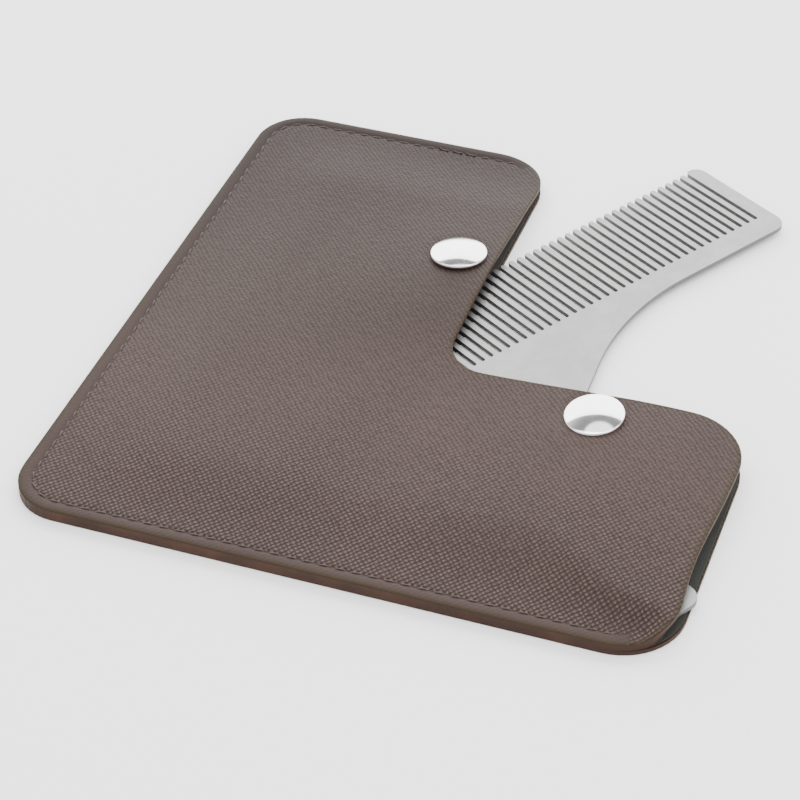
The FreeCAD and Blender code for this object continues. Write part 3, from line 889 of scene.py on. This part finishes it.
def cap_profile(look, skin):
    """A dome that turns down into a close rim, hollow inside, with its rivet.

    The skin is the height of the leather's face over the profile's foot."""
    roll, bow = 0.45, look.dome_radius
    rim_foot, inner_foot = skin - 0.12, skin + 0.2
    rim_at = look.cap_radius - roll
    tilt = math.asin(rim_at / (bow - roll))
    rim_turn = 90 - math.degrees(tilt)
    crown = skin + look.cap_rise
    rim_height = crown - bow + (bow - roll) * math.cos(tilt)
    dome = arc_profile((0, crown - bow), bow, 90, rim_turn, 18)
    dome[0] = (0.0, crown)
    rim = arc_profile((rim_at, rim_height), roll, rim_turn, 0, 7)[1:]
    rim += [(look.cap_radius, rim_foot), (look.cap_radius - 0.45, rim_foot)]
    under = [(look.cap_radius - 0.5, inner_foot), (look.cap_radius * 0.5, crown - 0.75), (1.2, crown - 0.62)]
    rivet = [(1.2, -0.36), (1.7, -0.36), (1.7, -0.5), (1.5, -0.56), (0.0, -0.56)]
    return dome + rim + under + rivet


def snap_placement(centre, lean, lift):
    """The matrix that puts a turned piece on the front at a snap, leaning with the leather."""
    turn = Vector((0, 0, 1)).rotation_difference(lean).to_matrix().to_4x4()
    return Matrix.Translation(pouch_place(*centre, lift)) @ turn


# ---------------------------------------------------------------- operators


class POUCH_OT_panels(bpy.types.Operator):
    """Makes the back panel, the front panel in three pieces, and their linings"""

    bl_idname = "comb_pouch.panels"
    bl_label = "Leather Panels"

    def execute(self, context):
        look = settings("pouch")
        leather, edge, lining = leather_material(), edge_material(), lining_material()
        plies = (
            ("panel", 0.0, look.lining + GLUE, look.leather, (leather, edge)),
            ("lining", LINING_INSET, 0, look.lining, (lining, lining)),
        )
        for kind, inset, lift, thickness, skins in plies:
            pattern = FlatPattern(inset)
            relief, from_seam = front_relief(pattern)
            in_margin = np.clip(1 - (pattern.edge - MARGIN_START) / MARGIN_FADE, 0, 1)
            marks = {"edge_distance": pattern.edge, "sewn_margin": in_margin * (from_seam < SEAM_ZONE)}
            under = look.leather + look.lining + lift + hollow(pattern.x, pattern.y)
            over = under + thickness
            flat_under = np.full(len(pattern.x), look.leather)
            flat_over = flat_under + look.lining
            if kind == "panel":
                over += relief
                under = self.meeting_edge(pattern, from_seam, under)
                flat_over = np.full(len(pattern.x), look.leather)
                flat_under = BACK_EDGE_ROUND * rounding(pattern.edge, BACK_EDGE_ROUND_WIDTH)
                flat_under += BACK_SEAM_SINK * ridge(from_seam, 0, SINK_WIDTH)
            across = pulled_in(pattern.x, pattern.y)
            pieces = {}
            for region, faces in front_regions(pattern).items():
                name = f"front_{kind}_{region}"
                pieces[region] = sheet_piece(name, pattern, faces, over, under, skins, marks, across)
            self.join_bodies(pieces, kind)
            name = f"back_{kind}_sheet"
            back = sheet_piece(name, pattern, pattern.faces, flat_over, flat_under, skins, marks)
            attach(back, "pouch")
            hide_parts(f"back_{kind}")
        return {"FINISHED"}

    @staticmethod
    def meeting_edge(pattern, from_seam, under):
        """The front leather's underside, brought down to the back leather along the sewn edge."""
        past_seam = (pattern.y < SEAM_TAIL.y) & (pattern.x < SEAM_TAIL.x)
        sewn = (pattern.edge < EDGE_ROUND_WIDTH) & ((from_seam < SEAM_ZONE) | past_seam)
        return np.where(sewn, settings("pouch").leather + PANEL_MEETING_GAP, under)

    @staticmethod
    def join_bodies(pieces, kind):
        """Bakes each front piece's placement into its mesh, and hides the frame's front and flap pieces."""
        to_seam, to_notch = arm_folds()
        wing_start, wing_way = wing_fold()
        ways = {
            "arm_top": ("upper_flap", HINGE, Vector((to_seam.y, -to_seam.x)), BLEND_WIDTH),
            "arm_low": ("upper_flap", HINGE, Vector((-to_notch.y, to_notch.x)), BLEND_WIDTH),
            "wing": ("lower_flap", wing_start, Vector((-wing_way.y, wing_way.x)), WING_BLEND_WIDTH),
        }
        for region, (body, start, way, width) in ways.items():
            piece = pieces[region]
            end = start + way * width
            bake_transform(piece)
        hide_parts(f"front_{kind}", f"lower_flap_{kind}")
        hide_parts(f"upper_flap_{kind}")


class POUCH_OT_stitches(bpy.types.Operator):
    """Lays the stitches along the seam on both faces"""

    bl_idname = "comb_pouch.stitches"
    bl_label = "Stitching"

    def execute(self, context):
        seam, look = settings("seam"), settings("pouch")
        thread = thread_material()
        top = 2 * (look.leather + look.lining) + SHUT_GAP + GLUE - STITCH_SINK
        line = densify(seam_line(), 1.0)
        mesh = bpy.data.meshes.new("seam_line")
        places = [pouch_place(p.x, p.y, height) for height in (top, seam.thread) for p in line]
        edges = [(k, k + 1) for k in range(2 * len(line) - 1) if k != len(line) - 1]
        mesh.from_pydata(places, edges, [])
        path = new_object("seam_line", mesh)
        tree, sockets = stitch_tree(thread)
        modifier = path.modifiers.new("stitches", "NODES")
        modifier.node_group = tree
        given = {
            "Pitch": seam.pitch * MM, "Stitch": seam.stitch * MM, "Thread": seam.thread * MM,
            "Lean": seam.lean, "Middle": top / 2 * MM,
        }
        for name, number in given.items():
            modifier[sockets[name]] = number
        stitched = bake(path, "seam_stitches")
        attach(stitched, "pouch")
        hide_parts("seam_thread")
        return {"FINISHED"}


def bake(source, name):
    """The evaluated object as a plain mesh of its own; the source is removed."""
    graph = bpy.context.evaluated_depsgraph_get()
    mesh = bpy.data.meshes.new_from_object(source.evaluated_get(graph), depsgraph=graph)
    mesh.name = name
    made = bpy.data.objects.new(name, mesh)
    bpy.context.scene.collection.objects.link(made)
    bpy.data.objects.remove(source)
    return made


def stitch_tree(material):
    """A node group that lays a stitch at every pitch along a line, and turns over those below a height."""
    tree = bpy.data.node_groups.new("Stitches Along Seam", "GeometryNodeTree")
    sockets = {}
    tree.interface.new_socket("Geometry", in_out="INPUT", socket_type="NodeSocketGeometry")
    tree.interface.new_socket("Geometry", in_out="OUTPUT", socket_type="NodeSocketGeometry")
    for name in ("Pitch", "Stitch", "Thread", "Lean", "Middle"):
        socket = tree.interface.new_socket(name, in_out="INPUT", socket_type="NodeSocketFloat")
        sockets[name] = socket.identifier

    def node(kind, inputs=None, **options):
        made = tree.nodes.new(kind)
        for key, option in options.items():
            setattr(made, key, option)
        for key, given in (inputs or {}).items():
            if isinstance(given, bpy.types.NodeSocket):
                tree.links.new(given, made.inputs[key])
            else:
                made.inputs[key].default_value = given
        return made

    def maths(operation, first, second):
        return node("ShaderNodeMath", {0: first, 1: second}, operation=operation).outputs[0]

    start, end = node("NodeGroupInput"), node("NodeGroupOutput")
    given = start.outputs
    curve = node("GeometryNodeMeshToCurve", {0: given["Geometry"]})
    holes = node("GeometryNodeResampleCurve", {"Curve": curve.outputs[0], "Length": given["Pitch"]},
                 mode="LENGTH")
    points = node("GeometryNodeCurveToPoints", {"Curve": holes.outputs[0]}, mode="EVALUATED")

    half = maths("MULTIPLY", given["Stitch"], 0.5)
    left = node("ShaderNodeCombineXYZ", {"X": maths("MULTIPLY", half, -1.0)})
    right = node("ShaderNodeCombineXYZ", {"X": half})
    run = node("GeometryNodeCurvePrimitiveLine", {"Start": left.outputs[0], "End": right.outputs[0]})
    fine = node("GeometryNodeResampleCurve", {"Curve": run.outputs[0], "Count": 9}, mode="COUNT")
    along = node("GeometryNodeSplineParameter").outputs["Factor"]
    from_middle = maths("MULTIPLY", maths("SUBTRACT", along, 0.5), 2.0)
    drop = maths("MULTIPLY", maths("POWER", from_middle, 4.0), given["Thread"])
    dip = node("ShaderNodeCombineXYZ", {"Z": maths("MULTIPLY", drop, -1.5)})
    bowed = node("GeometryNodeSetPosition", {"Geometry": fine.outputs[0], "Offset": dip.outputs[0]})
    ring = node("GeometryNodeCurvePrimitiveCircle", {"Resolution": 8, "Radius": given["Thread"]})
    tube = node("GeometryNodeCurveToMesh",
                {"Curve": bowed.outputs[0], "Profile Curve": ring.outputs[0], "Fill Caps": True})

    where = node("ShaderNodeSeparateXYZ", {0: node("GeometryNodeInputPosition").outputs[0]})
    turned_over = maths("MULTIPLY", maths("LESS_THAN", where.outputs["Z"], given["Middle"]), math.pi)
    lean = node("ShaderNodeCombineXYZ", {"X": turned_over, "Z": given["Lean"]})
    facing = node("FunctionNodeAlignRotationToVector", {"Vector": points.outputs["Tangent"]}, axis="X")
    spun = node("FunctionNodeRotateRotation", {"Rotation": facing.outputs[0], "Rotate By": lean.outputs[0]},
                rotation_space="LOCAL")
    laid = {"Points": points.outputs["Points"], "Instance": tube.outputs[0], "Rotation": spun.outputs[0]}
    placed = node("GeometryNodeInstanceOnPoints", laid)
    real = node("GeometryNodeRealizeInstances", {0: placed.outputs[0]})
    smooth = node("GeometryNodeSetShadeSmooth", {0: real.outputs[0]})
    dressed = node("GeometryNodeSetMaterial", {"Geometry": smooth.outputs[0], "Material": material})
    tree.links.new(dressed.outputs[0], end.inputs[0])
    return tree, sockets


# The comb's frame: its origin is the first slot's root, +X runs back along the teeth to the blade,
# and the teeth point to -Y.
COMB_TURN = 238.603
COMB_PLACE = Vector((118.603, 141.787))
TIP_END = -4.3
SPINE = 5.8
BLADE_SIDES = (95.1, 107.5)
BLADE_END = 81.0
BEND_START, BEND_END = 46.9, 37.09
COMB_CORNER_RADII = (2.5, 3.5, 65.0, 20.0, 3.5, 3.5, 8.0)
COMB_ARC_STEPS = (8, 8, 36, 22, 8, 8, 12)
TOOTHED_EDGE = -23.5


class POUCH_OT_comb(bpy.types.Operator):
    """Cuts the comb plate with its slots and bevels its edges"""

    bl_idname = "comb_pouch.comb"
    bl_label = "Steel Comb"

    def execute(self, context):
        look = settings("comb")
        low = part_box("comb_plate")[0].z
        mesh = bmesh.new()
        verts = [mesh.verts.new((*self.on_pouch(point), low)) for point in self.outline(look)]
        face = mesh.faces.new(verts)
        top = bmesh.ops.extrude_face_region(mesh, geom=[face])["geom"]
        raised = [item for item in top if isinstance(item, bmesh.types.BMVert)]
        bmesh.ops.translate(mesh, verts=raised, vec=(0, 0, look.plate * MM))
        bmesh.ops.recalc_face_normals(mesh, faces=mesh.faces)
        data = bpy.data.meshes.new("comb")
        mesh.to_mesh(data)
        mesh.free()
        data.polygons.foreach_set("use_smooth", [True] * len(data.polygons))
        comb = new_object("steel_comb", data, steel_material())
        bevel = comb.modifiers.new("edges", "BEVEL")
        bevel.width = look.bevel * MM
        bevel.segments = 2
        bevel.limit_method = "ANGLE"
        bevel.angle_limit = math.radians(60)
        bevel.harden_normals = True
        comb = bake(comb, "steel_comb_plate")
        comb.data.materials.append(cut_steel_material())
        for polygon in comb.data.polygons:
            if abs(polygon.normal.z) < 0.5:
                polygon.material_index = 1
        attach(comb, "comb")
        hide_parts("comb_plate")
        return {"FINISHED"}

    @staticmethod
    def on_pouch(point):
        """From along and across the toothed arm, in mm, to the row frame."""
        turn = Matrix.Rotation(math.radians(COMB_TURN), 2)
        return POUCH_CORNER.xy + (COMB_PLACE + turn @ point) * MM

    @staticmethod
    def outline(look):
        """The plate's outline: spine, long bend, blade, elbow, and the teeth back to the tip."""
        mouth = -look.tooth_length
        inner, outer = BLADE_SIDES
        corners = [(TIP_END, TOOTHED_EDGE), (TIP_END, SPINE), (BEND_START, SPINE), (inner, BEND_END),
                   (inner, BLADE_END), (outer, BLADE_END), (outer, TOOTHED_EDGE)]
        arcs = corner_arcs(corners, COMB_CORNER_RADII)
        points = round_points(arcs, COMB_ARC_STEPS, [1] * len(corners))
        half, tip = look.slot_width / 2, look.tooth_tip
        slot = [(half + tip, mouth)]
        for a in np.radians((22, 45, 67, 90)):
            slot.append((half + tip * (1 - math.sin(a)), mouth + tip * (1 - math.cos(a))))
        for a in np.radians((0, 30, 60, 90)):
            slot.append((half * math.cos(a), -half + half * math.sin(a)))
        slot += [(-x, y) for x, y in reversed(slot[:-1])]
        last = (look.slot_count - 0.5) * look.tooth_pitch
        points += [Vector((last, TOOTHED_EDGE)), Vector((last, mouth))]
        for k in reversed(range(look.slot_count)):
            points += [Vector((k * look.tooth_pitch + x, y)) for x, y in slot]
        first = -look.tooth_pitch / 2
        return points + [Vector((first, mouth)), Vector((first, TOOTHED_EDGE))]


class POUCH_OT_snaps(bpy.types.Operator):
    """Turns the caps and dresses the sockets, studs, posts and spring rings"""

    bl_idname = "comb_pouch.snaps"
    bl_label = "Press Studs"

    def execute(self, context):
        look, pouch = settings("snap"), settings("pouch")
        chrome, nickel, spring = chrome_material(), nickel_material(), nickel_material("spring_wire", 0.8)
        skin = pouch.leather + pouch.lining + SOCKET_BED
        for name, centre, lean in SNAPS:
            lift = pouch.leather + pouch.lining + float(hollow(*np.array(centre)))
            placement = snap_placement(centre, lean, lift)
            cap = lathe(f"{name}_cap_dome", cap_profile(look, skin), placement, chrome, look.turns)
            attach(cap, f"{name}_flap")
            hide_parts(f"{name}_snap_cap")
            for part in ("socket", "stud", "post"):
                self.dress(f"{name}_snap_{part}", nickel)
            self.dress(f"{name}_snap_spring", spring)
        return {"FINISHED"}

    @staticmethod
    def dress(node, material):
        """Gives one of the frame's own pieces a material."""
        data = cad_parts[node].data
        data.materials.clear()
        data.materials.append(material)


# Lamps: offset from the pouch's middle and size, both in metres, and power in watts.
LAMPS = (
    ("key_lamp", (-0.25, 1.45, 0.8), (4.0, 1.75), 110.0),
    ("top_lamp", (0.0, -0.35, 1.6), (3.0, 0.7), 30.0),
    ("fill_lamp", (1.4, -0.2, 1.3), (1.6, 1.6), 15.0),
)
FLOOR_REACH = 4.0

# The sky's brightness by a direction's height, where 1 is straight up: a dim belt, then bright overhead.
BELT_DIMS = {"From Min": 0.57, "From Max": 0.88, "To Min": 1.0, "To Max": 0.3}
TOP_OPENS = {"From Min": 0.91, "From Max": 0.95, "To Min": 0.0, "To Max": 1.9}

# The camera, in mm from the pouch's lower left corner, and its roll in degrees.
CAMERA_PLACE = (204.6745, -333.1201, 339.6046)
CAMERA_AIM = (63.34689, 57.717446, 0.0)
CAMERA_ROLL = -0.5522117
SENSOR_WIDTH = 36.0


class POUCH_OT_stage(bpy.types.Operator):
    """Sets the floor, the lights and the camera"""

    bl_idname = "comb_pouch.stage"
    bl_label = "Stage"

    def execute(self, context):
        look = settings("stage")
        self.floor(look)
        self.lamps(context.scene)
        context.scene.world = self.sky(look)
        context.scene.camera = self.camera(context.scene, look)
        return {"FINISHED"}

    @staticmethod
    def floor(look):
        mesh = bmesh.new()
        bmesh.ops.create_grid(mesh, x_segments=1, y_segments=1, size=FLOOR_REACH)
        data = bpy.data.meshes.new("floor")
        mesh.to_mesh(data)
        mesh.free()
        shader = Shader("floor")
        shader.set(Base_Color=look.floor_colour, Roughness=0.9)
        floor = new_object("floor", data, shader.material)

    @staticmethod
    def lamps(scene):
        middle = pouch_place(WIDE / 2, TALL / 2, 0)
        for name, offset, size, power in LAMPS:
            lamp = bpy.data.lights.new(name, "AREA")
            lamp.shape = "RECTANGLE"
            lamp.size, lamp.size_y = size
            lamp.energy = power
            obj = bpy.data.objects.new(name, lamp)
            obj.location = middle + Vector(offset)
            obj.rotation_mode = "QUATERNION"
            obj.rotation_quaternion = Vector(offset).to_track_quat("Z", "Y")
            scene.collection.objects.link(obj)

    @staticmethod
    def camera(scene, look):
        camera = bpy.data.objects.new("camera", bpy.data.cameras.new("camera"))
        camera.data.lens = look.lens
        camera.data.sensor_width = SENSOR_WIDTH
        camera.data.clip_start = 0.05
        camera.location = pouch_place(*CAMERA_PLACE)
        back = Vector(CAMERA_PLACE) - Vector(CAMERA_AIM)
        roll = Matrix.Rotation(math.radians(CAMERA_ROLL), 3, "Z").to_quaternion()
        camera.rotation_mode = "QUATERNION"
        camera.rotation_quaternion = back.to_track_quat("Z", "Y") @ roll
        scene.collection.objects.link(camera)
        return camera

    @staticmethod
    def sky(look):
        """An even white sky with one dimmer belt, high up, that the polished caps mirror."""
        world = bpy.data.worlds.new("studio")
        world.use_nodes = True
        nodes, links = world.node_tree.nodes, world.node_tree.links
        where = nodes.new("ShaderNodeTexCoord")
        parts = nodes.new("ShaderNodeSeparateXYZ")
        links.new(where.outputs["Generated"], parts.inputs[0])
        belt, scale = nodes.new("ShaderNodeMath"), nodes.new("ShaderNodeMath")
        belt.operation, scale.operation = "MAXIMUM", "MULTIPLY"
        for numbers, socket in zip((BELT_DIMS, TOP_OPENS), belt.inputs):
            ramp = nodes.new("ShaderNodeMapRange")
            ramp.interpolation_type = "SMOOTHSTEP"
            for name, number in numbers.items():
                ramp.inputs[name].default_value = number
            links.new(parts.outputs["Z"], ramp.inputs["Value"])
            links.new(ramp.outputs[0], socket)
        scale.inputs[1].default_value = look.world_strength
        links.new(belt.outputs[0], scale.inputs[0])
        links.new(scale.outputs[0], nodes["Background"].inputs["Strength"])
        nodes["Background"].inputs["Color"].default_value = (1, 1, 1, 1)
        return world


class POUCH_PT_sidebar(bpy.types.Panel):
    """Lists the pieces and their settings"""

    bl_label = "Comb Pouch"
    bl_idname = "POUCH_PT_sidebar"
    bl_space_type = "VIEW_3D"
    bl_region_type = "UI"
    bl_category = "Comb Pouch"

    def draw(self, context):
        for operator in OPERATORS:
            self.layout.operator(operator.bl_idname)
        for name, group in GROUPS.items():
            box = self.layout.box()
            for key in group.__annotations__:
                box.prop(getattr(context.scene, name), key)


OPERATORS = (POUCH_OT_panels, POUCH_OT_stitches, POUCH_OT_comb, POUCH_OT_snaps, POUCH_OT_stage)
CLASSES = (*GROUPS.values(), *OPERATORS, POUCH_PT_sidebar)


def register():
    for item in CLASSES:
        bpy.utils.register_class(item)
    for name, group in GROUPS.items():
        setattr(bpy.types.Scene, name, bpy.props.PointerProperty(type=group))


def unregister():
    for name in GROUPS:
        delattr(bpy.types.Scene, name)
    for item in reversed(CLASSES):
        bpy.utils.unregister_class(item)


def main():
    register()
    for operator in OPERATORS:
        getattr(bpy.ops.comb_pouch, operator.bl_idname.split(".")[1])()


if __name__ == "__main__":
    main()
